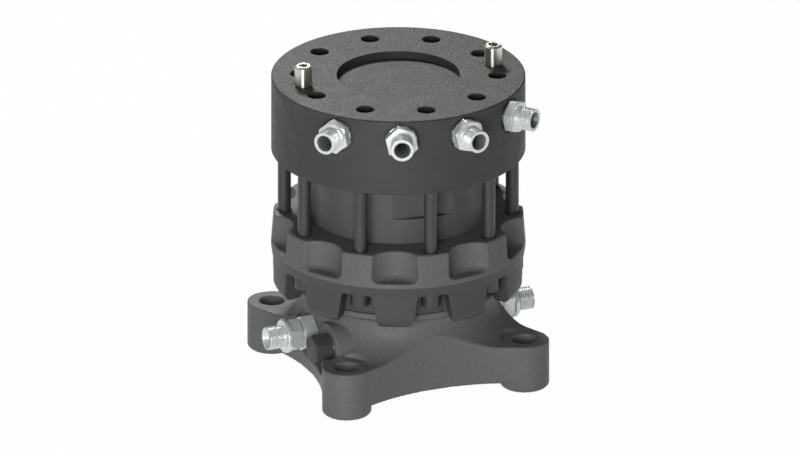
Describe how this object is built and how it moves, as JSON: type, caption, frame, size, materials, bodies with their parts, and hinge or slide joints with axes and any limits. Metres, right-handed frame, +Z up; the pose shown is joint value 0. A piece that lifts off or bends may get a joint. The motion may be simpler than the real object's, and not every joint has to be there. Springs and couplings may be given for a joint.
{
  "type": "hydraulic rotator",
  "caption": "Hydraulic rotator: a footed base, a drum held by tie bolts and a ported round head that turns about the base without limit.",
  "frame": {"origin": "on the floor, on the turning axis, centre of the four foot holes", "axes": "+Z up along the turning axis, towards the head; +X towards one of the two lower ports"},
  "size_m": [0.26, 0.2564, 0.304],
  "materials": {
    "head_casting": "dark coated steel, coarse cast grain on top, turned sides",
    "cam_steel": "dark coated, turned",
    "housing_casting": "dark coated sand casting",
    "foot_casting": "dark coated sand casting, spot faces milled",
    "bolt_steel": "phosphated steel",
    "ground_steel": "ground steel",
    "bronze": "bearing bronze",
    "seal_rubber": "nitrile rubber",
    "seal_plastic": "filled sealing plastic",
    "race_steel": "hardened and ground",
    "zinc_steel": "zinc plated steel",
    "washer_steel": "zinc plated washer with a rubber lip",
    "shaft_steel": "turned and ground steel",
    "black_steel": "black oxide steel",
    "spring_steel": "blued spring steel",
    "cage_brass": "machined brass",
    "vane_steel": "hardened and ground"
  },
  "bodies": {
    "base": {"base_casting": "foot_casting", "rotor_shaft": "shaft_steel", "rotor_screws": "black_steel", "swivel_seals": "seal_plastic", "spigot_seals": "seal_rubber", "lower_race": "race_steel", "dust_wiper": "seal_rubber", "base_reducer_1": "zinc_steel", "base_reducer_2": "zinc_steel", "base_adapter_1": "zinc_steel", "base_adapter_2": "zinc_steel", "reducer_seals": "washer_steel", "adapter_seals": "washer_steel", "base_plugs": "black_steel", "plug_seals": "washer_steel", "vane_springs": "spring_steel"},
    "housing": {"manifold_block": "head_casting", "cam_ring": "cam_steel", "bearing_housing": "housing_casting", "tie_bolts": "bolt_steel", "locating_dowels": "ground_steel", "cam_dowels": "ground_steel", "upper_wear_plate": "bronze", "lower_wear_plate": "bronze", "cam_seals": "seal_rubber", "upper_bush": "bronze", "lower_bush": "bronze", "shaft_seal": "seal_rubber", "upper_race": "race_steel", "port_adapter_1": "zinc_steel", "port_adapter_2": "zinc_steel", "port_adapter_3": "zinc_steel", "port_adapter_4": "zinc_steel", "port_seals": "washer_steel"},
    "ball_cage": {"bearing_cage": "cage_brass", "bearing_balls": "race_steel"},
    "vane_body_1": {"vane_1": "vane_steel"},
    "vane_body_2": {"vane_2": "vane_steel"},
    "vane_body_3": {"vane_3": "vane_steel"},
    "vane_body_4": {"vane_4": "vane_steel"},
    "vane_body_5": {"vane_5": "vane_steel"},
    "vane_body_6": {"vane_6": "vane_steel"},
    "vane_body_7": {"vane_7": "vane_steel"},
    "vane_body_8": {"vane_8": "vane_steel"}
  },
  "joints": [
    {"name": "housing_turn", "type": "hinge", "parent": "base", "child": "housing", "pos_m": [0, 0, 0.15], "axis": [0, 0, 1], "continuous": true},
    {"name": "bearing_roll", "type": "hinge", "parent": "base", "child": "ball_cage", "pos_m": [0, 0, 0.088], "axis": [0, 0, 1], "continuous": true},
    {"name": "vane_slide_1", "type": "slide", "parent": "base", "child": "vane_body_1", "axis": [0.2385, 0.9711, 0], "range_m": [0, 0.0042]},
    {"name": "vane_slide_2", "type": "slide", "parent": "base", "child": "vane_body_2", "axis": [-0.518, 0.8554, 0], "range_m": [0, 0.0042]},
    {"name": "vane_slide_3", "type": "slide", "parent": "base", "child": "vane_body_3", "axis": [-0.9711, 0.2385, 0], "range_m": [0, 0.0042]},
    {"name": "vane_slide_4", "type": "slide", "parent": "base", "child": "vane_body_4", "axis": [-0.8554, -0.518, 0], "range_m": [0, 0.0042]},
    {"name": "vane_slide_5", "type": "slide", "parent": "base", "child": "vane_body_5", "axis": [-0.2385, -0.9711, 0], "range_m": [0, 0.0042]},
    {"name": "vane_slide_6", "type": "slide", "parent": "base", "child": "vane_body_6", "axis": [0.518, -0.8554, 0], "range_m": [0, 0.0042]},
    {"name": "vane_slide_7", "type": "slide", "parent": "base", "child": "vane_body_7", "axis": [0.9711, -0.2385, 0], "range_m": [0, 0.0042]},
    {"name": "vane_slide_8", "type": "slide", "parent": "base", "child": "vane_body_8", "axis": [0.8554, 0.518, 0], "range_m": [0, 0.0042]}
  ],
  "couplings": [
    {"joint": "bearing_roll", "follows": "housing_turn", "ratio": 0.5}
  ]
}
